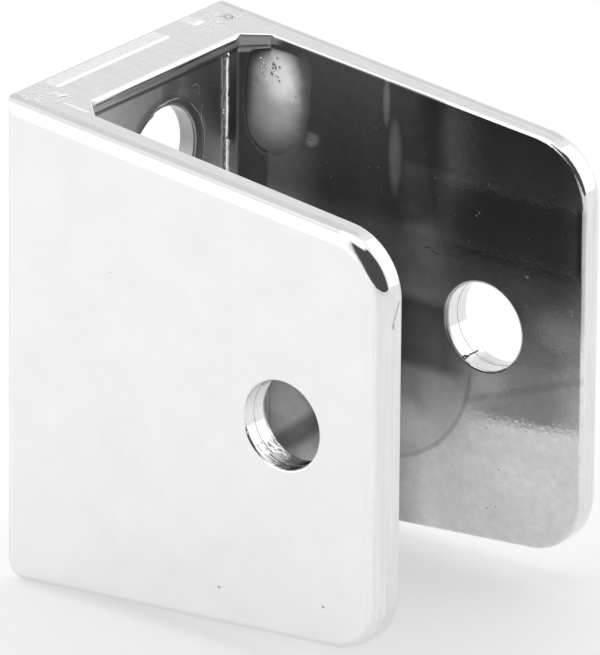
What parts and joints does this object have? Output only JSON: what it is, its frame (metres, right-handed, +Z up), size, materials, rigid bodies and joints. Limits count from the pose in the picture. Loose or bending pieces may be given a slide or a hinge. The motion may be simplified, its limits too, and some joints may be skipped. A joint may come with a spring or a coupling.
{
  "type": "u-bracket",
  "caption": "U-shaped wall bracket for a panel, cast in one piece and chrome plated, with tapered legs, a through bolt hole and screw holes in its web.",
  "frame": {"origin": "middle of the wall face, on the centre plane between the two legs", "axes": "+X away from the wall towards the legs' ends, +Y across the two legs along the panel bolt, +Z up along the web"},
  "size_m": [0.043, 0.0332, 0.0468],
  "materials": {
    "chrome_plate": "polished chrome plate on a zinc casting"
  },
  "bodies": {
    "root": {"bracket": "chrome_plate"}
  },
  "joints": []
}
